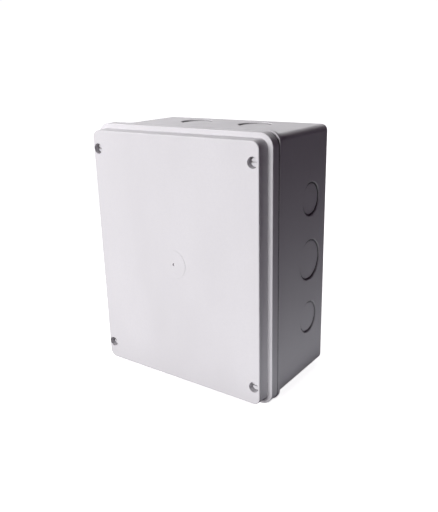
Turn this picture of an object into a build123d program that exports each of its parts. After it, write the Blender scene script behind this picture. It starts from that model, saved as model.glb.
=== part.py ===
"""Surface-mounted plastic junction box, built as separate mouldings, fasteners and terminals.

The frame: X runs across the box, Z up it, and the box grows from the wall plane y = 0 towards -Y.
The origin is the centre of the back face. Every depth below is a distance in front of the wall, so a
depth of d lies at y = -d. All sizes are millimetres.

The base is a tray whose rim carries a sealing tongue. The lid's skirt holds a gasket in a groove that
the tongue presses into. Four screws pass through the lid into moulded pillars in the base.
Inside, a steel plate carries a rail with five screw terminals.
"""

from build123d import *
import os

# Outline and depths of the closed box
BOX_WIDTH = 200.0
BOX_HEIGHT = 252.0
BOX_DEPTH = 121.0
CORNER_R = 12.5
LID_RAISE = 13.2  # the lid's panel stands this far in front of its flange
LID_SKIRT = 10.0  # flange face to the skirt's back edge
PARTING_GAP = 1.8  # shadow gap between the lid's skirt and the base's rim
RIM_THICK = 3.0
RIM_CORNER_R = 10.0  # tighter than the lid's corners, so the rim shows a little there
WALL = 3.0
LID_WALL = 2.5

FLANGE_FRONT = BOX_DEPTH - LID_RAISE
SKIRT_BACK = FLANGE_FRONT - LID_SKIRT
RIM_FRONT = SKIRT_BACK - PARTING_GAP
RIM_BACK = RIM_FRONT - RIM_THICK

# Insets from the box's outline, each at a constant distance inside it
SKIRT_WALL = 2.0
GROOVE_INNER = 5.0
BODY_INSET = 3.2
BODY_CORNER_R = 6.0
TONGUE_OUTER, TONGUE_INNER = 2.8, 4.2
GASKET_OUTER, GASKET_INNER = 2.2, 4.8
PANEL_INSET_BASE, PANEL_INSET_FACE = 4.8, 5.3
LID_POCKET_INSET = 7.4
BODY_BACK_R = 3.0

# Sealing groove, tongue and gasket
GROOVE_FLOOR = FLANGE_FRONT - LID_WALL
GROOVE_LIP = GROOVE_FLOOR - 5.1
GASKET_THICK = 4.0
TONGUE_FRONT = GROOVE_FLOOR - GASKET_THICK - 0.1

# Lid screws
SCREW_X, SCREW_Z = 88.5, 103.0
SCREW_SPOTS = [(-SCREW_X, SCREW_Z), (SCREW_X, SCREW_Z), (-SCREW_X, -SCREW_Z), (SCREW_X, -SCREW_Z)]
PILLAR_R = 6.0
TUBE_R = 6.4
RECESS_R, RECESS_DEPTH = 5.0, 9.0
SEAL_THICK, SEAL_R = 1.4, 4.6
HEAD_R, HEAD_THICK = 4.4, 3.2
SLOT_WIDTH, SLOT_DEPTH = 1.5, 1.9
SHANK_R, SHANK_HOLE_R, PILOT_R = 2.9, 3.3, 3.05
SHANK_LENGTH = 24.4
PILOT_LENGTH = 16.0
SEAT_DEPTH = BOX_DEPTH - RECESS_DEPTH

# Knock-outs: the small ones suit an M32 entry and the large ones an M40 entry
KNOCKOUT_SMALL_R, KNOCKOUT_LARGE_R = 16.25, 20.25
KNOCKOUT_DEPTH = 32.0
SIDE_PITCH, SIDE_MIDDLE = 60.0, -3.5
END_OFFSET = 35.0
GROOVE_WIDTH, WEB_THICK = 1.5, 0.8
DISC_SINK = 1.2

# The moulding gate's mark in the middle of the lid: a low round pad with a pit in it
GATE_PAD_R, GATE_PAD_HEIGHT = 14.0, 0.15
GATE_PIT_R, GATE_PIT_DEPTH = 1.2, 1.2

# Wall fixing and the bosses of the mounting plate
FIXING_X, FIXING_Z, FIXING_R = 70.0, 100.0, 2.75
PAD_R, PAD_HEIGHT = 7.0, 3.0
BOSS_X, BOSS_Z, BOSS_R, BOSS_HEIGHT = 70.0, 72.0, 4.5, 10.0
PLATE_DEPTH = WALL + BOSS_HEIGHT
PLATE_THICK = 1.5
PLATE_WIDTH, PLATE_HEIGHT = 164.0, 212.0
PLATE_NOTCH_X, PLATE_NOTCH_Z = 56.0, 86.0
TAPPING_R = 1.8

# Rail, 35 mm top-hat section
RAIL_LENGTH, RAIL_WIDTH, RAIL_RISE, RAIL_SHEET = 150.0, 35.0, 7.5, 1.0
RAIL_HAT = 27.0
RAIL_BACK = PLATE_DEPTH + PLATE_THICK
RAIL_FRONT = RAIL_BACK + RAIL_RISE
RAIL_SCREW_X = 50.0

# Terminals
TERMINALS = 5
TERMINAL_PITCH = 12.0
HOUSING_WIDTH = 11.9
HOUSING_WALL = 1.3
CLAMP_Z = 16.0
CLAMP_X = 6.5  # screw axis, from the housing's closed side
BAR_DEPTH = 44.0
BAR_THICK = 2.0
CAGE_FOOT = 34.0
BRACKET_WIDTH = 8.0
END_PLATE_THICK = 2.0


def outline(inset):
    """The box's rounded outline, shrunk by inset all round."""
    return RectangleRounded(BOX_WIDTH - 2 * inset, BOX_HEIGHT - 2 * inset, CORNER_R - inset)


def body_outline(inset):
    """The tray's outer walls as a rounded rectangle, shrunk by inset all round."""
    width, height = BOX_WIDTH - 2 * BODY_INSET, BOX_HEIGHT - 2 * BODY_INSET
    return RectangleRounded(width - 2 * inset, height - 2 * inset, BODY_CORNER_R - inset)


def slab(sketch, start, stop):
    """A front-facing sketch carried from one depth to another."""
    return extrude(Plane.XZ.offset(start) * sketch, stop - start)


def rod(x, z, radius, start, stop):
    """A cylinder along the depth."""
    return slab(Pos(x, z) * Circle(radius), start, stop)


def brick(x_span, z_span, depth_span):
    """A box given by its two ends along X, Z and depth."""
    width, height = x_span[1] - x_span[0], z_span[1] - z_span[0]
    middle = Pos((x_span[0] + x_span[1]) / 2, (z_span[0] + z_span[1]) / 2)
    return slab(middle * Rectangle(width, height), *depth_span)


def side_plate(points, x_start, x_stop):
    """A closed outline of (z, depth) points carried along X."""
    face = make_face(Polyline([(x_start, -depth, z) for z, depth in points], close=True))
    return extrude(face, x_stop - x_start, dir=(1, 0, 0))


def edges_at(part, depth):
    """The edges that lie wholly in the plane at one depth."""
    return part.edges().filter_by_position(Axis.Y, -depth - 1e-4, -depth + 1e-4)


def wall_frame(side, along):
    """A frame on the middle of an outer wall, at one place along it: local Z points out of the wall."""
    half_width, half_height = BOX_WIDTH / 2 - BODY_INSET, BOX_HEIGHT / 2 - BODY_INSET
    spots = {
        "right": ((half_width, -KNOCKOUT_DEPTH, along), (1, 0, 0)),
        "left": ((-half_width, -KNOCKOUT_DEPTH, along), (-1, 0, 0)),
        "top": ((along, -KNOCKOUT_DEPTH, half_height), (0, 0, 1)),
        "bottom": ((along, -KNOCKOUT_DEPTH, -half_height), (0, 0, -1)),
    }
    origin, normal = spots[side]
    return Plane(origin=origin, x_dir=(0, 1, 0), z_dir=normal)


def knockouts():
    """Each knock-out's name, wall frame and radius."""
    found = []
    for side in ("left", "right"):
        for label, along, radius in (
            ("upper", SIDE_MIDDLE + SIDE_PITCH, KNOCKOUT_SMALL_R),
            ("middle", SIDE_MIDDLE, KNOCKOUT_LARGE_R),
            ("lower", SIDE_MIDDLE - SIDE_PITCH, KNOCKOUT_SMALL_R),
        ):
            found.append((f"knockout_{side}_{label}", wall_frame(side, along), radius))
    for side in ("top", "bottom"):
        for label, along in (("left", -END_OFFSET), ("right", END_OFFSET)):
            found.append((f"knockout_{side}_{label}", wall_frame(side, along), KNOCKOUT_SMALL_R))
    return found


def make_base():
    """The tray: walls, rim, sealing tongue, screw pillars, plate bosses and wall-fixing pads."""
    tray = slab(body_outline(0), 0, RIM_BACK)
    tray = fillet(edges_at(tray, 0), BODY_BACK_R)
    rim = slab(RectangleRounded(BOX_WIDTH, BOX_HEIGHT, RIM_CORNER_R), RIM_BACK, RIM_FRONT)
    rim = fillet(edges_at(rim, RIM_FRONT), 0.6)
    tray = tray + rim
    tray = tray + (slab(outline(TONGUE_OUTER), RIM_FRONT, TONGUE_FRONT)
                   - slab(outline(TONGUE_INNER), RIM_FRONT, TONGUE_FRONT))
    tray = tray - slab(body_outline(WALL), WALL, RIM_FRONT)
    for x, z in SCREW_SPOTS:
        tray = tray + rod(x, z, PILLAR_R, WALL, RIM_FRONT)
    for x in (-1, 1):
        for z in (-1, 1):
            tray = tray + rod(x * BOSS_X, z * BOSS_Z, BOSS_R, WALL, PLATE_DEPTH)
            tray = tray + rod(x * FIXING_X, z * FIXING_Z, PAD_R, WALL, WALL + PAD_HEIGHT)
    return tray - base_holes()


def base_holes():
    """Everything that is bored out of the tray."""
    cut = Part()
    for x, z in SCREW_SPOTS:
        cut = cut + rod(x, z, PILOT_R, RIM_FRONT - PILOT_LENGTH, RIM_FRONT)
    for x in (-1, 1):
        for z in (-1, 1):
            cut = cut + rod(x * BOSS_X, z * BOSS_Z, TAPPING_R, WALL + 1, PLATE_DEPTH)
            cut = cut + rod(x * FIXING_X, z * FIXING_Z, FIXING_R, 0, WALL + PAD_HEIGHT)
    for _, frame, radius in knockouts():
        cut = cut + extrude(frame.offset(1) * Circle(radius), -(WALL + 2))
        cut = cut + extrude(frame * Circle(radius + 0.5), -0.5, taper=45)
    return cut


def make_knockout(frame, radius):
    """A break-out disc: a full-thickness middle inside a thin web that meets the wall."""
    disc = extrude(frame.offset(-DISC_SINK) * Circle(radius - GROOVE_WIDTH), DISC_SINK - WALL)
    outer_edge = disc.edges().sort_by(Axis(frame.origin, frame.z_dir))[-1]
    disc = chamfer(outer_edge, 0.3)
    return disc + extrude(frame.offset(-WALL) * Circle(radius), WEB_THICK)


def make_lid():
    """The lid: a raised panel on a flange, with a skirt, a gasket groove and four screw recesses."""
    skirt = slab(outline(0), SKIRT_BACK, FLANGE_FRONT)
    skirt = fillet(edges_at(skirt, FLANGE_FRONT), 0.9)
    skirt = fillet(edges_at(skirt, SKIRT_BACK), 0.5)
    panel = loft([Plane.XZ.offset(FLANGE_FRONT - 1) * outline(PANEL_INSET_BASE),
                  Plane.XZ.offset(BOX_DEPTH) * outline(PANEL_INSET_FACE)])
    panel = fillet(edges_at(panel, BOX_DEPTH), 1.0)
    lid = skirt + panel
    inner_limit = BOX_WIDTH / 2 - 3.0
    foot = [e for e in edges_at(lid, FLANGE_FRONT)
            if abs(e.center().X) < inner_limit and abs(e.center().Z) < BOX_HEIGHT / 2 - 3.0]
    lid = fillet(foot, 0.7)
    lid = lid - slab(outline(SKIRT_WALL), SKIRT_BACK, GROOVE_LIP)
    lid = lid - (slab(outline(SKIRT_WALL), GROOVE_LIP, GROOVE_FLOOR)
                 - slab(outline(GROOVE_INNER), GROOVE_LIP, GROOVE_FLOOR))
    lid = lid - slab(outline(LID_POCKET_INSET), GROOVE_LIP, BOX_DEPTH - LID_WALL)
    for x, z in SCREW_SPOTS:
        lid = lid + rod(x, z, TUBE_R, GROOVE_LIP, BOX_DEPTH - LID_WALL)
    for x, z in SCREW_SPOTS:
        lid = lid - rod(x, z, RECESS_R, SEAT_DEPTH, BOX_DEPTH)
        lid = lid - rod(x, z, SHANK_HOLE_R, GROOVE_LIP, SEAT_DEPTH)
    lid = lid + rod(0, 0, GATE_PAD_R, BOX_DEPTH - 1, BOX_DEPTH + GATE_PAD_HEIGHT)
    return lid - rod(0, 0, GATE_PIT_R, BOX_DEPTH - GATE_PIT_DEPTH, BOX_DEPTH + GATE_PAD_HEIGHT)


def make_gasket():
    """The sealing strip that fills the lid's groove."""
    back = GROOVE_FLOOR - GASKET_THICK
    return slab(outline(GASKET_OUTER), back, GROOVE_FLOOR) - slab(outline(GASKET_INNER), back, GROOVE_FLOOR)


def make_lid_screw(x, z):
    """A slotted cheese-head screw with a chamfered tip, its thread left as a plain shank."""
    under = SEAT_DEPTH + SEAL_THICK
    head = rod(x, z, HEAD_R, under, under + HEAD_THICK)
    head = fillet(edges_at(head, under + HEAD_THICK), 0.5)
    half_slot = SLOT_WIDTH / 2
    front = under + HEAD_THICK
    slot = brick((x - HEAD_R, x + HEAD_R), (z - half_slot, z + half_slot), (front - SLOT_DEPTH, front))
    shank = rod(x, z, SHANK_R, under - SHANK_LENGTH, under)
    shank = chamfer(edges_at(shank, under - SHANK_LENGTH), 0.7)
    return head - slot + shank


def make_screw_seal(x, z):
    """The rubber ring under a lid screw's head."""
    ring = rod(x, z, SEAL_R, SEAT_DEPTH, SEAT_DEPTH + SEAL_THICK)
    ring = ring - rod(x, z, SHANK_R + 0.3, SEAT_DEPTH, SEAT_DEPTH + SEAL_THICK)
    return fillet(ring.edges().filter_by(GeomType.CIRCLE), 0.35)


def make_plate():
    """The steel mounting plate, with its corners cut back to clear the wall fixings."""
    plate = slab(RectangleRounded(PLATE_WIDTH, PLATE_HEIGHT, 3), PLATE_DEPTH, PLATE_DEPTH + PLATE_THICK)
    for x in (-1, 1):
        for z in (-1, 1):
            notch = Pos(x * (PLATE_NOTCH_X + 30), z * (PLATE_NOTCH_Z + 30)) * RectangleRounded(60, 60, 3)
            plate = plate - slab(notch, PLATE_DEPTH, PLATE_DEPTH + PLATE_THICK)
            plate = plate - rod(x * BOSS_X, z * BOSS_Z, 2.2, PLATE_DEPTH, PLATE_DEPTH + PLATE_THICK)
    for x in (-RAIL_SCREW_X, RAIL_SCREW_X):
        plate = plate - rod(x, 0, 2.0, PLATE_DEPTH, PLATE_DEPTH + PLATE_THICK)
    return plate


def pan_screw(x, z, seat, shank_r, length, head_r, head_thick):
    """A cross-recessed pan-head screw whose head bears at one depth."""
    head = rod(x, z, head_r, seat, seat + head_thick)
    head = fillet(edges_at(head, seat + head_thick), head_thick * 0.45)
    arm, blade = head_r * 0.55, head_r * 0.14
    front = seat + head_thick
    cross = brick((x - arm, x + arm), (z - blade, z + blade), (front - head_thick * 0.6, front))
    cross = cross + brick((x - blade, x + blade), (z - arm, z + arm), (front - head_thick * 0.6, front))
    return head - cross + rod(x, z, shank_r, seat - length, seat)


def make_plate_screws():
    """The four screws that hold the plate to the base's bosses."""
    seat = PLATE_DEPTH + PLATE_THICK
    spots = [(x * BOSS_X, z * BOSS_Z) for x in (-1, 1) for z in (-1, 1)]
    return [pan_screw(x, z, seat, TAPPING_R, 8.0, 3.8, 2.4) for x, z in spots]


def make_rail():
    """The top-hat rail, slotted along its web."""
    hat, lip = RAIL_HAT / 2, RAIL_WIDTH / 2
    inner = hat - RAIL_SHEET
    points = [
        (-hat, RAIL_BACK), (hat, RAIL_BACK), (hat, RAIL_FRONT - RAIL_SHEET), (lip, RAIL_FRONT - RAIL_SHEET),
        (lip, RAIL_FRONT), (inner, RAIL_FRONT), (inner, RAIL_BACK + RAIL_SHEET),
        (-inner, RAIL_BACK + RAIL_SHEET), (-inner, RAIL_FRONT), (-lip, RAIL_FRONT),
        (-lip, RAIL_FRONT - RAIL_SHEET), (-hat, RAIL_FRONT - RAIL_SHEET),
    ]
    rail = side_plate(points, -RAIL_LENGTH / 2, RAIL_LENGTH / 2)
    for step in range(-2, 3):
        slot = Pos(step * RAIL_SCREW_X / 2, 0) * SlotOverall(15, 5.2)
        rail = rail - slab(slot, RAIL_BACK, RAIL_BACK + RAIL_SHEET)
    return rail


def make_rail_screws():
    """The two screws that hold the rail to the plate."""
    seat = RAIL_BACK + RAIL_SHEET
    return [pan_screw(x, 0, seat, 2.0, 5.0, 4.0, 2.6) for x in (-RAIL_SCREW_X, RAIL_SCREW_X)]


def housing_outline():
    """A terminal's outline as (z, depth) points: hooked feet, cable shoulders and two screw towers."""
    half = [
        (17.8, RAIL_FRONT), (17.8, RAIL_FRONT - 1.3), (16.0, RAIL_FRONT - 1.3), (16.0, RAIL_FRONT - 2.9),
        (20.5, RAIL_FRONT - 2.9), (22.0, RAIL_FRONT + 2), (25.5, RAIL_FRONT + 7), (25.5, BAR_DEPTH + 3),
        (22.5, BAR_DEPTH + 6), (22.5, 60.0), (20.5, 62.0), (11.0, 62.0), (9.5, 57.5),
    ]
    return half + [(-z, depth) for z, depth in reversed(half)]


def make_housing(x):
    """One terminal's insulating body, closed on its left side, with a chamber at each end."""
    body = side_plate(housing_outline(), x, x + HOUSING_WIDTH)
    open_side = (x + HOUSING_WALL, x + HOUSING_WIDTH)
    for side in (-1, 1):
        z_near, z_far = sorted((side * 10.5, side * 21.5))
        body = body - brick(open_side, (z_near, z_far), (CAGE_FOOT - 0.6, 55.2))
        body = body - rod(x + CLAMP_X, side * CLAMP_Z, 3.7, 55.2, 59.0)
        body = body - rod(x + CLAMP_X, side * CLAMP_Z, 2.7, 59.0, 62.0)
        entry = Plane(origin=(x + CLAMP_X, -(BAR_DEPTH - 4.4), side * 25.5), z_dir=(0, 0, -side))
        body = body - extrude(entry * Circle(3.9), 5.0)
        body = body - loft([entry * Circle(4.6), entry.offset(1.5) * Circle(3.9)])
    return body - brick(open_side, (-21.5, 21.5), (BAR_DEPTH, BAR_DEPTH + BAR_THICK))


def make_bar(x):
    """The copper bar that joins a terminal's two clamps."""
    centre = x + CLAMP_X
    return brick((centre - 3, centre + 3), (-20.5, 20.5), (BAR_DEPTH, BAR_DEPTH + BAR_THICK))


def make_cage(x, side):
    """A clamp's cage: a square frame round the bar, pulled up by its screw."""
    centre, z = x + CLAMP_X, side * CLAMP_Z
    frame = brick((centre - 4.5, centre + 4.5), (z - 4.2, z + 4.2), (CAGE_FOOT, CAGE_FOOT + 15.2))
    window = brick((centre - 3.3, centre + 3.3), (z - 4.2, z + 4.2), (CAGE_FOOT + 2, CAGE_FOOT + 13))
    return frame - window - rod(centre, z, 2.3, CAGE_FOOT + 13, CAGE_FOOT + 15.2)


def make_clamp_screw(x, side):
    """A clamp's slotted screw, held in place by the housing while it turns."""
    centre, z = x + CLAMP_X, side * CLAMP_Z
    head = rod(centre, z, 3.4, 55.4, 58.6)
    head = chamfer(edges_at(head, 58.6), 0.4)
    slot = brick((centre - 3.4, centre + 3.4), (z - 0.5, z + 0.5), (57.0, 58.6))
    return head - slot + rod(centre, z, 2.1, BAR_DEPTH + BAR_THICK + 0.1, 55.4)


def make_end_plate(x):
    """The thin cover on the last terminal's open side."""
    return side_plate(housing_outline(), x, x + END_PLATE_THICK)


def bracket_outline():
    """An end stop's outline as (z, depth) points."""
    half = [
        (17.8, RAIL_FRONT), (17.8, RAIL_FRONT - 1.3), (16.0, RAIL_FRONT - 1.3), (16.0, RAIL_FRONT - 2.9),
        (20.5, RAIL_FRONT - 2.9), (22.0, RAIL_FRONT + 2), (22.0, RAIL_FRONT + 9), (17.0, RAIL_FRONT + 17),
    ]
    return half + [(-z, depth) for z, depth in reversed(half)]


def make_bracket(x):
    """An end stop, with a hole for its clamping screw."""
    body = side_plate(bracket_outline(), x, x + BRACKET_WIDTH)
    middle = x + BRACKET_WIDTH / 2
    body = body - rod(middle, 0, 2.1, RAIL_FRONT, RAIL_FRONT + 12)
    return body - rod(middle, 0, 3.6, RAIL_FRONT + 12, RAIL_FRONT + 17)


def make_bracket_screw(x):
    """An end stop's screw, which bears on the rail's web."""
    length = RAIL_FRONT + 12 - (RAIL_BACK + RAIL_SHEET)
    return pan_screw(x + BRACKET_WIDTH / 2, 0, RAIL_FRONT + 12, 2.0, length, 3.4, 2.4)


def make_marker(x):
    """The blank label that clips into a terminal's middle."""
    return brick((x + 1.2, x + HOUSING_WIDTH - 1.2), (-6.0, 6.0), (57.5, 58.5))


def terminal_places():
    """The X of each terminal's closed side, of the end plate and of both end stops."""
    row = TERMINALS * TERMINAL_PITCH
    start = -row / 2
    housings = [start + i * TERMINAL_PITCH for i in range(TERMINALS)]
    plate = start + row
    return housings, plate, start - BRACKET_WIDTH, plate + END_PLATE_THICK


def terminal_nodes():
    """The rail-mounted terminals and everything that belongs to them."""
    places, plate_x, left_x, right_x = terminal_places()
    nodes = {}
    for number, x in enumerate(places, 1):
        nodes[f"terminal_housing_{number}"] = make_housing(x)
        for label, side in (("upper", 1), ("lower", -1)):
            nodes[f"clamp_cage_{number}_{label}"] = make_cage(x, side)
            nodes[f"clamp_screw_{number}_{label}"] = make_clamp_screw(x, side)
    nodes["terminal_end_plate"] = make_end_plate(plate_x)
    nodes["current_bars"] = Compound([make_bar(x) for x in places])
    nodes["terminal_markers"] = Compound([make_marker(x) for x in places])
    nodes["end_bracket_left"] = make_bracket(left_x)
    nodes["end_bracket_right"] = make_bracket(right_x)
    nodes["end_bracket_screws"] = Compound([make_bracket_screw(x) for x in (left_x, right_x)])
    return nodes


def lid_nodes():
    """The lid and what stays with it when it comes off."""
    nodes = {"lid": make_lid(), "lid_gasket": make_gasket()}
    for number, (x, z) in enumerate(SCREW_SPOTS, 1):
        nodes[f"lid_screw_{number}"] = make_lid_screw(x, z)
        nodes[f"lid_screw_seal_{number}"] = make_screw_seal(x, z)
    return nodes


def base_nodes():
    """The base and what is fixed in it for good."""
    nodes = {"base": make_base()}
    for name, frame, radius in knockouts():
        nodes[name] = make_knockout(frame, radius)
    nodes["mounting_plate"] = make_plate()
    nodes["mounting_plate_screws"] = Compound(make_plate_screws())
    nodes["din_rail"] = make_rail()
    nodes["din_rail_screws"] = Compound(make_rail_screws())
    return nodes


def main():
    os.makedirs("parts", exist_ok=True)
    for name, shape in {**base_nodes(), **lid_nodes(), **terminal_nodes()}.items():
        export_step(shape, f"parts/{name}.step")


main()
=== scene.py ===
"""Looks of the junction box: moulded plastic, plated metal, rubber, threaded screws and soft studio light."""

import math

import bmesh
import bpy
from mathutils import Matrix, Vector


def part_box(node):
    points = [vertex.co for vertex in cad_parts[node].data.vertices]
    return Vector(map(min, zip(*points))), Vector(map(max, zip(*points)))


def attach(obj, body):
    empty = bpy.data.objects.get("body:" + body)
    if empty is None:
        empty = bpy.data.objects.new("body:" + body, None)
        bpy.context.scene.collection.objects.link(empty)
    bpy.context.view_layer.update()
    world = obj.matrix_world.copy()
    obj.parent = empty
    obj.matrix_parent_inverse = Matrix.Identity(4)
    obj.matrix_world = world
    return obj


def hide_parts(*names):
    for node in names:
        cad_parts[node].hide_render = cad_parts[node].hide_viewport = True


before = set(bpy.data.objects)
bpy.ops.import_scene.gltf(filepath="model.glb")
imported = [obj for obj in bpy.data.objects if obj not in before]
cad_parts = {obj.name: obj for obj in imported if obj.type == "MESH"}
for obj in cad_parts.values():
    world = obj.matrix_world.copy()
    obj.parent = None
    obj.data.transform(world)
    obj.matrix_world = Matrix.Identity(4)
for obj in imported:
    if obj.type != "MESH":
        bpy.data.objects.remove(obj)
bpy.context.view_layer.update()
scene = bpy.context.scene

# Colours, linear
PLASTIC = (0.615, 0.601, 0.624)
NYLON = (0.60, 0.59, 0.61)
ZINC = (0.66, 0.65, 0.62)
SHEET = (0.55, 0.56, 0.57)
TIN = (0.66, 0.60, 0.52)
SEAL_BLACK = (0.022, 0.022, 0.023)
GASKET_GREY = (0.085, 0.086, 0.09)
TERMINAL_GREY = (0.19, 0.195, 0.20)
TERMINAL_BLUE = (0.012, 0.07, 0.34)
EARTH_GREEN = (0.045, 0.24, 0.03)
EARTH_YELLOW = (0.78, 0.56, 0.02)
MARKER_WHITE = (0.78, 0.78, 0.76)

MM = 0.001

# Screws, as turned: both kinds have heads of one thickness
HEAD_THICK = 3.2 * MM
LID_CORE, LID_CREST, LID_PITCH = 2.35 * MM, 2.87 * MM, 1.6 * MM
LID_THREAD_LENGTH = 14.0 * MM
LID_SLOT_WIDTH, LID_SLOT_DEPTH = 1.5 * MM, 1.9 * MM
CLAMP_CORE, CLAMP_CREST, CLAMP_PITCH = 1.72 * MM, 2.08 * MM, 0.7 * MM
CLAMP_SLOT_WIDTH, CLAMP_SLOT_DEPTH = 1.0 * MM, 1.55 * MM
AXIS_R = 0.02 * MM  # the smallest ring of a turned shape, next to its axis

SEAL_INNER_R = 3.2 * MM
GASKET_WIDTH, GASKET_CORNER_R = 2.6 * MM, 9.0 * MM
EARTH_BAND = 0.0105  # half the height of the earth terminal's yellow middle
SPANGLE_MM = 6
GROOVE_REACH_MM = 2.4  # a gap narrower than about this gets painted shade
PAINTED_SHADE_LOW, PAINTED_SHADE_HIGH = -0.09, 0.05  # heights between which that painted shade grows


# ---------------------------------------------------------------- materials


class Nodes:
    """A short way to write a material's node tree."""

    def __init__(self, name):
        self.material = bpy.data.materials.new(name)
        self.material.use_nodes = True
        self.tree = self.material.node_tree
        self.shader = self.tree.nodes["Principled BSDF"]

    def add(self, kind, inputs=None, **settings):
        node = self.tree.nodes.new(kind)
        for key, value in settings.items():
            setattr(node, key, value)
        for key, value in (inputs or {}).items():
            self.put(value, node.inputs[key])
        return node

    def put(self, value, socket):
        if isinstance(value, bpy.types.NodeSocket):
            self.tree.links.new(value, socket)
        else:
            socket.default_value = value

    def place(self):
        """Where a point is on its own object, in metres."""
        return self.add("ShaderNodeTexCoord").outputs["Object"]

    def noise(self, size_mm, detail=2.0, stretch=None, roughness=0.5):
        """Noise whose features are about size_mm wide."""
        where = self.place()
        if stretch:
            where = self.add("ShaderNodeMapping", {"Vector": where, "Scale": stretch}).outputs["Vector"]
        scale = 1 / (size_mm * MM)
        settings = {"Vector": where, "Scale": scale, "Detail": detail, "Roughness": roughness}
        return self.add("ShaderNodeTexNoise", settings).outputs["Fac"]

    def remap(self, value, low, high, from_low=0.3, from_high=0.7):
        settings = {"Value": value, "To Min": low, "To Max": high}
        settings.update({"From Min": from_low, "From Max": from_high})
        return self.add("ShaderNodeMapRange", settings).outputs["Result"]

    def math(self, operation, first, second=0.0):
        return self.add("ShaderNodeMath", {0: first, 1: second}, operation=operation).outputs[0]

    def mix(self, factor, first, second):
        node = self.add("ShaderNodeMix", data_type="RGBA")
        self.put(factor, node.inputs[0])
        self.put(first, node.inputs[6])
        self.put(second, node.inputs[7])
        return node.outputs[2]

    def edges(self, radius_mm, low=0.004, high=0.10):
        """1 on outer and inner edges, 0 on open faces."""
        true = self.add("ShaderNodeNewGeometry").outputs["Normal"]
        both = {0: self.rounded(radius_mm), 1: true}
        alike = self.add("ShaderNodeVectorMath", both, operation="DOT_PRODUCT").outputs["Value"]
        return self.remap(self.math("SUBTRACT", 1.0, alike), 0.0, 1.0, low, high)

    def crevices(self, reach_mm):
        """1 deep in a narrow gap or groove, 0 on open faces: the occluded share, used for painted shade."""
        reach = {"Distance": reach_mm * MM}
        open_share = self.add("ShaderNodeAmbientOcclusion", reach, samples=8).outputs["AO"]
        return self.remap(open_share, 1.0, 0.0, 0.35, 0.9)

    def bump(self, height, strength, distance_mm, normal=None):
        settings = {"Height": height, "Strength": strength, "Distance": distance_mm * MM}
        if normal is not None:
            settings["Normal"] = normal
        return self.add("ShaderNodeBump", settings).outputs["Normal"]

    def rounded(self, radius_mm):
        """The surface's direction as if its edges were rounded off."""
        return self.add("ShaderNodeBevel", {"Radius": radius_mm * MM}, samples=4).outputs["Normal"]

    def finish(self, **sockets):
        """Sets the shader's sockets, written with _ for a space, and gives the material back."""
        for name, value in sockets.items():
            self.put(value, self.shader.inputs[name.replace("_", " ")])
        return self.material


def rgba(colour, gain=1.0):
    """A colour made lighter or darker, with a full alpha."""
    return tuple(c * gain for c in colour) + (1.0,)


def moulded_plastic(name, colour, grain_mm=0.55, grain=0.22, roughness=0.46, edge_mm=0.5, variation=0.03,
                    painted_shade=0.0):
    """Spark-eroded plastic: fine pebbled grain, faint flow marks, and edges rubbed smoother and lighter.

    The last argument is how strongly narrow gaps and grooves get painted shade at the top of the piece. Near
    its bottom the painted shade is about a third as strong.
    """
    n = Nodes(name)
    flow = n.remap(n.noise(60, 3.0, (1.0, 1.0, 0.45)), 0.0, 1.0)
    speck = n.remap(n.noise(1.6, 4.0), 0.0, 1.0)
    base = n.mix(flow, rgba(colour, 1 - variation), rgba(colour, 1 + variation))
    base = n.mix(n.math("MULTIPLY", speck, 0.35), base, rgba(colour, 1 - 2.2 * variation))
    worn = n.edges(edge_mm)
    scuffed = n.math("MULTIPLY", worn, n.remap(n.noise(9, 4.0), 0.15, 1.0, 0.4, 0.62))
    base = n.mix(n.math("MULTIPLY", scuffed, 0.35), base, rgba(colour, 1.12))
    # Painted shade: ambient occlusion darkens narrow gaps and grooves, more strongly towards the top of the
    # piece.
    if painted_shade:
        height = n.add("ShaderNodeSeparateXYZ", {"Vector": n.place()}).outputs["Z"]
        strength = n.remap(height, 0.35 * painted_shade, painted_shade, PAINTED_SHADE_LOW, PAINTED_SHADE_HIGH)
        darkened = n.math("MULTIPLY", n.crevices(GROOVE_REACH_MM), strength)
        base = n.mix(darkened, base, rgba(colour, 0.12))
    rough = n.remap(n.noise(18, 3.0), roughness - 0.05, roughness + 0.06)
    rough = n.math("SUBTRACT", rough, n.math("MULTIPLY", scuffed, 0.08))
    pebble = n.noise(grain_mm, 3.0, roughness=0.6)
    sink = n.noise(35, 1.0)
    normal = n.bump(sink, 0.10, 0.30, n.rounded(0.25))
    normal = n.bump(pebble, grain, 0.06, normal)
    return n.finish(Base_Color=base, Roughness=rough, Normal=normal, Specular_IOR_Level=0.42)


def earth_plastic(name):
    """The green and yellow of an earth terminal: green ends with a yellow middle."""
    n = Nodes(name)
    height = n.add("ShaderNodeSeparateXYZ", {"Vector": n.place()}).outputs["Z"]
    band = n.math("LESS_THAN", n.math("ABSOLUTE", height), EARTH_BAND)
    colour = n.mix(band, rgba(EARTH_GREEN), rgba(EARTH_YELLOW))
    stain = n.math("MULTIPLY", n.remap(n.noise(4, 3.0), 0.0, 1.0), 0.25)
    colour = n.mix(stain, colour, rgba(EARTH_GREEN, 0.8))
    rough = n.remap(n.noise(6, 3.0), 0.36, 0.5)
    normal = n.bump(n.noise(0.4, 2.0), 0.2, 0.04, n.rounded(0.2))
    return n.finish(Base_Color=colour, Roughness=rough, Normal=normal, Specular_IOR_Level=0.45)


def plated_steel(name, colour, roughness=0.26):
    """Bright zinc: fine turning marks, soft clouding and paler edges."""
    n = Nodes(name)
    cloud = n.remap(n.noise(2.4, 4.0), 0.0, 1.0)
    base = n.mix(cloud, rgba(colour, 0.86), rgba(colour, 1.06))
    worn = n.edges(0.25, 0.01, 0.2)
    base = n.mix(n.math("MULTIPLY", worn, 0.5), base, rgba(colour, 1.25))
    rough = n.remap(n.noise(0.9, 4.0), roughness - 0.08, roughness + 0.12)
    marks = n.noise(0.18, 2.0, (1.0, 0.12, 1.0))
    normal = n.bump(marks, 0.10, 0.02, n.rounded(0.12))
    return n.finish(Base_Color=base, Roughness=rough, Normal=normal, Metallic=1.0)


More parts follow.
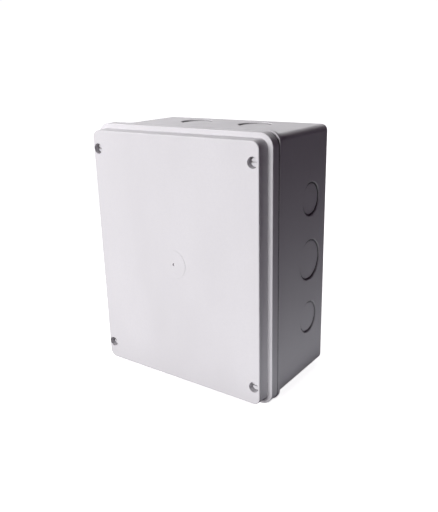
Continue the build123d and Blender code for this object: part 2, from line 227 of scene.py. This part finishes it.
def galvanised_sheet(name, colour):
    """Zinc-coated sheet: crystal spangle with its own tone and gloss in each grain."""
    n = Nodes(name)
    cells = n.add("ShaderNodeTexVoronoi", {"Vector": n.place(), "Scale": 1 / (SPANGLE_MM * MM)})
    tone = n.add("ShaderNodeSeparateColor", {"Color": cells.outputs["Color"]}).outputs["Red"]
    base = n.mix(tone, rgba(colour, 0.90), rgba(colour, 1.08))
    rough = n.remap(tone, 0.34, 0.44, 0.0, 1.0)
    rolled = n.noise(0.5, 3.0, (0.06, 1.0, 1.0))
    normal = n.bump(rolled, 0.10, 0.03, n.rounded(0.15))
    return n.finish(Base_Color=base, Roughness=rough, Normal=normal, Metallic=1.0)


def turned_metal(name, colour, roughness=0.3):
    """Tinned copper with a faint tarnish."""
    n = Nodes(name)
    tarnish = n.remap(n.noise(3, 4.0), 0.0, 1.0, 0.42, 0.68)
    base = n.mix(n.math("MULTIPLY", tarnish, 0.55), rgba(colour), rgba(colour, 0.55))
    rough = n.remap(n.noise(1.2, 3.0), roughness - 0.06, roughness + 0.14)
    normal = n.bump(n.noise(0.2, 2.0, (1.0, 0.1, 1.0)), 0.12, 0.02, n.rounded(0.1))
    return n.finish(Base_Color=base, Roughness=rough, Normal=normal, Metallic=1.0)


def moulded_rubber(name, colour):
    """Matt rubber with a dusty bloom and a fine skin texture."""
    n = Nodes(name)
    bloom = n.remap(n.noise(5, 5.0), 0.0, 1.0, 0.4, 0.7)
    base = n.mix(n.math("MULTIPLY", bloom, 0.6), rgba(colour), rgba(colour, 1.7))
    rough = n.remap(n.noise(2, 3.0), 0.62, 0.8)
    normal = n.bump(n.noise(0.3, 3.0), 0.3, 0.05)
    return n.finish(Base_Color=base, Roughness=rough, Normal=normal, Specular_IOR_Level=0.3)


MATERIALS = {
    "housing": moulded_plastic("housing_plastic", PLASTIC),
    # The base and knock-outs get painted shade in their narrow gaps and grooves
    "tray": moulded_plastic("tray_plastic", PLASTIC, painted_shade=1.0),
    "zinc": plated_steel("zinc_steel", ZINC),
    "sheet": galvanised_sheet("galvanised_sheet", SHEET),
    "nylon": moulded_plastic("screw_nylon", NYLON, 0.3, 0.10, 0.38, 0.3, 0.03),
    "tin": turned_metal("tinned_copper", TIN, 0.34),
    "seal": moulded_rubber("seal_rubber", SEAL_BLACK),
    "gasket": moulded_rubber("gasket_rubber", GASKET_GREY),
    "grey": moulded_plastic("terminal_grey", TERMINAL_GREY, 0.35, 0.16, 0.42, 0.3, 0.05),
    "blue": moulded_plastic("terminal_blue", TERMINAL_BLUE, 0.35, 0.16, 0.42, 0.3, 0.05),
    "earth": earth_plastic("terminal_earth"),
    "marker": moulded_plastic("marker_white", MARKER_WHITE, 0.3, 0.12, 0.38, 0.2, 0.02),
}

NODE_LOOKS = {
    "housing": ("lid",),
    "tray": ("base", "knockout_"),
    "sheet": ("mounting_plate", "din_rail"),
    "zinc": ("mounting_plate_screws", "din_rail_screws", "end_bracket_screws", "clamp_cage_"),
    "grey": ("terminal_housing_", "terminal_end_plate", "end_bracket_left", "end_bracket_right"),
    "tin": ("current_bars",),
    "marker": ("terminal_markers",),
}


def look_of(node):
    """The material of a CAD node: an exact name counts before the start of one."""
    for look, names in NODE_LOOKS.items():
        if node in names:
            return look
    for look, names in NODE_LOOKS.items():
        if any(node.startswith(name) for name in names if name.endswith("_")):
            return look
    return "zinc"


def dress(obj, look):
    obj.data.materials.clear()
    obj.data.materials.append(MATERIALS[look])


for node_name, node_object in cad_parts.items():
    dress(node_object, look_of(node_name))
dress(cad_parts["terminal_housing_4"], "blue")
dress(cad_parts["terminal_housing_5"], "earth")


# ---------------------------------------------------------------- detailed pieces


def new_piece(name, builder, look, body, replaced=(), smooth_deg=35):
    """A mesh made by builder(bmesh), given a finish, ridden on a body and standing for CAD nodes."""
    mesh = bpy.data.meshes.new(name)
    bm = bmesh.new()
    builder(bm)
    bmesh.ops.remove_doubles(bm, verts=bm.verts, dist=1e-7)
    bmesh.ops.recalc_face_normals(bm, faces=bm.faces)
    bm.to_mesh(mesh)
    bm.free()
    piece = bpy.data.objects.new(name, mesh)
    scene.collection.objects.link(piece)
    shade(piece, smooth_deg)
    dress(piece, look)
    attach(piece, body)
    for node in replaced:
        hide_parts(node)
    return piece


def shade(piece, smooth_deg):
    """Smooth faces, with edges sharper than the given angle kept crisp."""
    mesh = piece.data
    mesh.shade_smooth()
    bm = bmesh.new()
    bm.from_mesh(mesh)
    for edge in bm.edges:
        edge.smooth = len(edge.link_faces) == 2 and edge.calc_face_angle(0) < math.radians(smooth_deg)
    bm.to_mesh(mesh)
    bm.free()


def turned(bm, profile, x, z, segments=48, wave=None, closed=False):
    """A solid of revolution about the line along Y at x, z. profile is a list of (radius, y).

    wave(y, angle) is added to the radius of each point whose third entry is True.
    closed joins the last ring to the first, for a ring; otherwise the ends are capped.
    """
    rings = []
    for point in profile:
        radius, y = point[0], point[1]
        ring = []
        for step in range(segments):
            angle = 2 * math.pi * step / segments
            r = radius + (wave(y, angle) if wave and len(point) > 2 and point[2] else 0.0)
            ring.append(bm.verts.new((x + r * math.cos(angle), y, z + r * math.sin(angle))))
        rings.append(ring)
    pairs = list(zip(rings, rings[1:]))
    if closed:
        pairs.append((rings[-1], rings[0]))
    for first, second in pairs:
        for step in range(segments):
            after = (step + 1) % segments
            bm.faces.new((first[step], first[after], second[after], second[step]))
    if not closed:
        bm.faces.new(rings[0])
        bm.faces.new(rings[-1])


def thread_wave(pitch, depth, top, bottom, turn=1.0):
    """A trapezoid thread cut inwards by depth, fading out over one pitch at both ends."""

    def wave(y, angle):
        phase = ((y - turn * pitch * angle / (2 * math.pi)) / pitch) % 1.0
        tooth = min(1.0, max(0.0, 2.2 - abs(phase - 0.5) * 6.0) / 1.2) if abs(phase - 0.5) < 0.5 else 0.0
        fade = min(1.0, max(0.0, (y - bottom) / pitch), max(0.0, (top - y) / pitch))
        return -depth * (1.0 - tooth) * fade

    return wave


def steps(start, stop, size):
    count = max(1, round(abs(stop - start) / size))
    return [start + (stop - start) * i / count for i in range(count + 1)]


def cut_slot(piece, front, radius, width, depth):
    """Cuts a driver slot right across a screw's head, from the middle of its front face."""
    ahead = 1.1 * MM  # how far the cutter stands out in front of the head
    mesh = bpy.data.meshes.new("cutter")
    bm = bmesh.new()
    bmesh.ops.create_cube(bm, size=1.0)
    bmesh.ops.scale(bm, vec=(2.7 * radius, ahead + depth, width), verts=bm.verts)
    bmesh.ops.translate(bm, vec=Vector(front) + Vector((0, (depth - ahead) / 2, 0)), verts=bm.verts)
    bm.to_mesh(mesh)
    bm.free()
    cutter = bpy.data.objects.new("cutter", mesh)
    scene.collection.objects.link(cutter)
    modifier = piece.modifiers.new("slot", "BOOLEAN")
    modifier.object = cutter
    modifier.solver = "EXACT"
    evaluated = piece.evaluated_get(bpy.context.evaluated_depsgraph_get())
    result = bpy.data.meshes.new_from_object(evaluated)
    piece.modifiers.clear()
    piece.data = result
    bpy.data.objects.remove(cutter)


def centre_of(node):
    low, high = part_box(node)
    return (low + high) / 2


def lid_screw(number):
    """A slotted cheese-head nylon screw with a coarse moulded thread and a chamfered tip."""
    node = f"lid_screw_{number}"
    low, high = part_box(node)
    x, z = centre_of(node).x, centre_of(node).z
    radius = (high.x - low.x) / 2
    front, tip = low.y, high.y
    seat = front + HEAD_THICK
    thread_start = tip - LID_THREAD_LENGTH

    def head(bm):
        """From the seat, up the side, over the rounded rim and down into a shallow dimple."""
        turned(bm, [(AXIS_R, seat), (radius - 0.2 * MM, seat), (radius, seat - 0.2 * MM),
                    (radius, front + 0.75 * MM), (radius - 0.07 * MM, front + 0.42 * MM),
                    (radius - 0.24 * MM, front + 0.16 * MM), (radius - 0.52 * MM, front + 0.02 * MM),
                    (radius - 0.8 * MM, front), (0.9 * MM, front), (0.7 * MM, front + 0.12 * MM),
                    (AXIS_R, front + 0.16 * MM)], x, z, 64)

    def shank(bm):
        """A plain neck, the thread and a blunt tip."""
        neck = seat + 0.01 * MM
        profile = [(AXIS_R, neck), (LID_CORE + 0.3 * MM, neck),
                   (LID_CORE, seat + 0.5 * MM), (LID_CORE, thread_start - 0.4 * MM)]
        profile += [(LID_CREST, y, True) for y in steps(thread_start, tip - 0.75 * MM, LID_PITCH / 16)]
        profile += [(LID_CORE - 0.35 * MM, tip), (AXIS_R, tip)]
        wave = thread_wave(LID_PITCH, LID_CREST - LID_CORE, tip - 0.4 * MM, thread_start, -1.0)
        turned(bm, profile, x, z, 48, wave)

    top = new_piece(f"{node}_head", head, "nylon", node, [node])
    cut_slot(top, (x, front, z), radius, LID_SLOT_WIDTH, LID_SLOT_DEPTH)
    shade(top, 30)
    stem = new_piece(f"{node}_thread", shank, "nylon", node)


def screw_seal(number):
    """A rubber ring, squeezed a little flat under the head."""
    node = f"lid_screw_seal_{number}"
    low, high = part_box(node)
    centre = centre_of(node)
    outer, half_thick = (high.x - low.x) / 2, (high.y - low.y) / 2
    middle, half_width = (outer + SEAL_INNER_R) / 2, (outer - SEAL_INNER_R) / 2

    def ring(bm):
        """Its section is an oval with flattened sides."""
        profile = []
        for step in range(20):
            a = 2 * math.pi * step / 20
            c, s = math.cos(a), math.sin(a)
            profile.append((middle + half_width * math.copysign(abs(c) ** 0.75, c),
                            centre.y + half_thick * math.copysign(abs(s) ** 0.75, s)))
        turned(bm, profile, centre.x, centre.z, 40, closed=True)

    new_piece(f"{node}_ring", ring, "seal", node, [node], 60)


def clamp_screw(node):
    """A terminal's slotted screw with its thread showing through the cage."""
    low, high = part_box(node)
    x, z = centre_of(node).x, centre_of(node).z
    front, tip = low.y, high.y
    radius, seat = (high.x - low.x) / 2, low.y + HEAD_THICK

    def head(bm):
        """From the seat, up the side and over the chamfered rim."""
        turned(bm, [(AXIS_R, seat), (radius, seat), (radius, front + 0.5 * MM),
                    (radius - 0.18 * MM, front + 0.16 * MM), (radius - 0.5 * MM, front),
                    (AXIS_R, front)], x, z, 32)

    def shank(bm):
        """Threaded from the head to the blunt tip."""
        neck = seat + 0.01 * MM
        profile = [(AXIS_R, neck)]
        profile += [(CLAMP_CREST, y, True) for y in steps(neck, tip - 0.4 * MM, CLAMP_PITCH / 8)]
        profile += [(CLAMP_CORE - 0.1 * MM, tip), (AXIS_R, tip)]
        turned(bm, profile, x, z, 24, thread_wave(CLAMP_PITCH, CLAMP_CREST - CLAMP_CORE, tip, seat, -1.0))

    top = new_piece(f"{node}_head", head, "zinc", node, [node])
    cut_slot(top, (x, front, z), radius, CLAMP_SLOT_WIDTH, CLAMP_SLOT_DEPTH)
    shade(top, 30)
    stem = new_piece(f"{node}_thread", shank, "zinc", node)


def outline_points(half_width, half_height, radius, corner_steps=14):
    """A rounded rectangle's points and outward directions in X and Z."""
    found = []
    for sx, sz, start in ((1, 1, 0), (-1, 1, 90), (-1, -1, 180), (1, -1, 270)):
        for step in range(corner_steps + 1):
            a = math.radians(start + 90 * step / corner_steps)
            out = Vector((math.cos(a), math.sin(a)))
            corner = Vector((sx * (half_width - radius), sz * (half_height - radius)))
            found.append((corner + out * radius, out))
    return found


def gasket():
    """The lid's seal: a crowned rubber strip with two lips and the line that the tongue presses into it."""
    low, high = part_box("lid_gasket")
    w, back, front = GASKET_WIDTH / 2, high.y, low.y
    path = outline_points((high.x - low.x) / 2 - w, (high.z - low.z) / 2 - w, GASKET_CORNER_R)
    section = [(-w, front + 0.3 * MM), (-w, back - 1.0 * MM), (-w + 0.15 * MM, back - 0.4 * MM),
               (-w + 0.45 * MM, back - 0.08 * MM), (-0.75 * MM, back), (-0.55 * MM, back - 0.22 * MM),
               (-0.3 * MM, back - 0.34 * MM), (0.3 * MM, back - 0.34 * MM), (0.55 * MM, back - 0.22 * MM),
               (0.75 * MM, back), (w - 0.45 * MM, back - 0.08 * MM), (w - 0.15 * MM, back - 0.4 * MM),
               (w, back - 1.0 * MM), (w, front + 0.3 * MM), (w - 0.3 * MM, front), (-w + 0.3 * MM, front)]

    def strip(bm):
        """The section carried once round the path."""
        rings = []
        for point, out in path:
            ring = []
            for across, y in section:
                spot = point + out * across
                ring.append(bm.verts.new((spot.x, y, spot.y)))
            rings.append(ring)
        for first, second in zip(rings, rings[1:] + rings[:1]):
            for i in range(len(section)):
                j = (i + 1) % len(section)
                bm.faces.new((first[i], first[j], second[j], second[i]))

    new_piece("lid_gasket_strip", strip, "gasket", "lid", ["lid_gasket"], 50)


for screw_number in range(1, 5):
    lid_screw(screw_number)
    screw_seal(screw_number)
for node_name in sorted(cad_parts):
    if node_name.startswith("clamp_screw_"):
        clamp_screw(node_name)
gasket()


# ---------------------------------------------------------------- studio


def pale(name, colour, glow):
    """A pale glowing surface that can't be seen from its back."""
    n = Nodes(name)
    tone = n.remap(n.noise(900, 2.0), 0.0, 1.0)
    base = n.mix(tone, rgba(colour, 0.99), rgba(colour, 1.0))
    behind = n.add("ShaderNodeNewGeometry").outputs["Backfacing"]
    clear = n.add("ShaderNodeBsdfTransparent").outputs[0]
    shown = n.add("ShaderNodeMixShader", {0: behind, 1: n.shader.outputs[0], 2: clear}).outputs[0]
    n.put(shown, n.tree.nodes["Material Output"].inputs["Surface"])
    return n.finish(Base_Color=base, Roughness=0.9, Specular_IOR_Level=0.1,
                    Emission_Color=rgba(colour), Emission_Strength=glow)


def disc(name, radius, height, material, segments=96):
    """A flat disc of the stage, facing up."""
    mesh = bpy.data.meshes.new(name)
    bm = bmesh.new()
    angles = [2 * math.pi * i / segments for i in range(segments)]
    bm.faces.new([bm.verts.new((radius * math.cos(a), radius * math.sin(a), height)) for a in angles])
    bm.to_mesh(mesh)
    bm.free()
    obj = bpy.data.objects.new(name, mesh)
    obj.data.materials.append(material)
    scene.collection.objects.link(obj)
    return obj


def sun(name, azimuth, elevation, strength, softness):
    """A soft distant light. Azimuth 0 comes from the front, and a positive one from the right."""
    data = bpy.data.lights.new(name, "SUN")
    data.energy = strength
    data.angle = math.radians(softness)
    obj = bpy.data.objects.new(name, data)
    a, e = math.radians(azimuth), math.radians(elevation)
    away = Vector((math.sin(a) * math.cos(e), -math.cos(a) * math.cos(e), math.sin(e)))
    obj.rotation_mode = "QUATERNION"
    obj.rotation_quaternion = away.to_track_quat("Z", "Y")
    obj.location = away * 2
    scene.collection.objects.link(obj)


def area(name, place, aim, size, watts, colour=(1.0, 1.0, 1.0)):
    """A soft box that faces a point and isn't seen itself."""
    data = bpy.data.lights.new(name, "AREA")
    data.shape = "RECTANGLE"
    data.size, data.size_y = size
    data.energy = watts
    data.color = colour
    obj = bpy.data.objects.new(name, data)
    obj.rotation_mode = "QUATERNION"
    obj.rotation_quaternion = (place - aim).to_track_quat("Z", "Y")
    obj.location = place
    obj.visible_camera = False
    obj.visible_glossy = False
    scene.collection.objects.link(obj)


def floor_panel(name, x, y, size, watts, colour=(1.0, 1.0, 1.0), lift=1 * MM):
    """A soft box that lies on the floor and shines up, as light thrown back by a pale table."""
    place = Vector((x, y, FLOOR + lift))
    area(name, place, place + Vector((0, 0, 1)), size, watts, colour)


def backdrop(radius, colour, glow):
    """A pale glowing sphere round everything, which lights nothing itself."""
    mesh = bpy.data.meshes.new("backdrop")
    bm = bmesh.new()
    bmesh.ops.create_uvsphere(bm, u_segments=48, v_segments=24, radius=radius)
    bm.to_mesh(mesh)
    bm.free()
    material = bpy.data.materials.new("backdrop")
    material.use_nodes = True
    nodes = material.node_tree.nodes
    nodes.clear()
    emitter = nodes.new("ShaderNodeEmission")
    emitter.inputs["Color"].default_value = rgba(colour)
    emitter.inputs["Strength"].default_value = glow
    output = nodes.new("ShaderNodeOutputMaterial")
    material.node_tree.links.new(emitter.outputs[0], output.inputs["Surface"])
    mesh.materials.append(material)
    dome = bpy.data.objects.new("backdrop", mesh)
    scene.collection.objects.link(dome)
    dome.visible_diffuse = False
    dome.visible_glossy = False
    dome.visible_transmission = False
    dome.visible_shadow = False


FLOOR = -0.1261  # a hair under the box, which stands on it
FLOOR_R, BACKDROP_R = 14.0, 13.9
AMBIENT = (1.0, 0.55, 1.0)
AMBIENT_STRENGTH = 0.028

floor = disc("floor", FLOOR_R, FLOOR, pale("floor", (0.9, 0.9, 0.9), 1.0))
floor.visible_diffuse = False
floor.visible_glossy = False

# The main light is in front and a little to the left, with soft boxes high and low on the left
sun("key", -11, 14, 3.2, 30)
sun("back_fill", -155, 25, 0.9, 60)
area("window_left", Vector((-0.42, -0.16, 0.46)), Vector((0, -0.06, 0.10)), (0.35, 0.35), 1.9)
area("lamp_left", Vector((-0.44, -0.56, -0.04)), Vector((-0.04, -0.12, 0.0)), (0.3, 0.3), 1.05)
floor_panel("floor_bounce", 0.185, -0.03, (0.15, 0.5), 0.198, (0.94, 0.98, 1.0))
floor_panel("front_bounce", 0.02, -0.30, (0.40, 0.3), 0.11, (1.0, 0.99, 1.0))
# Between the box and the floor, so that the underside isn't black when seen from below
floor_panel("under_fill", 0.0, -0.05, (0.17, 0.085), 0.011, lift=0.05 * MM)

world = bpy.data.worlds.new("studio")
scene.world = world
world.use_nodes = True
ambient = world.node_tree.nodes["Background"]
ambient.inputs["Color"].default_value = rgba(AMBIENT)
ambient.inputs["Strength"].default_value = AMBIENT_STRENGTH

backdrop(BACKDROP_R, (0.98, 0.98, 0.985), 1.05)

scene.view_settings.view_transform = "Standard"

# The camera stands in front, to the right and above, and looks down on the box
CAMERA_PLACE = Vector((0.3563, -0.5402, 0.1860))
TURN, TILT, ROLL = 0.6264, -0.3149, -0.0239  # radians from facing +Y, level and upright
SENSOR_WIDTH = 36.0
FOCAL_LENGTH = 1.2003 * SENSOR_WIDTH
lens = bpy.data.cameras.new("camera")
lens.sensor_width = SENSOR_WIDTH
lens.lens = FOCAL_LENGTH
lens.clip_start = 0.01
lens.clip_end = 60.0
camera = bpy.data.objects.new("camera", lens)
turned_round = Matrix.Rotation(TURN, 4, "Z")
raised = Matrix.Rotation(math.pi / 2 + TILT, 4, "X")
rolled_over = Matrix.Rotation(ROLL, 4, "Z")
camera.matrix_world = Matrix.Translation(CAMERA_PLACE) @ turned_round @ raised @ rolled_over
scene.collection.objects.link(camera)
scene.camera = camera
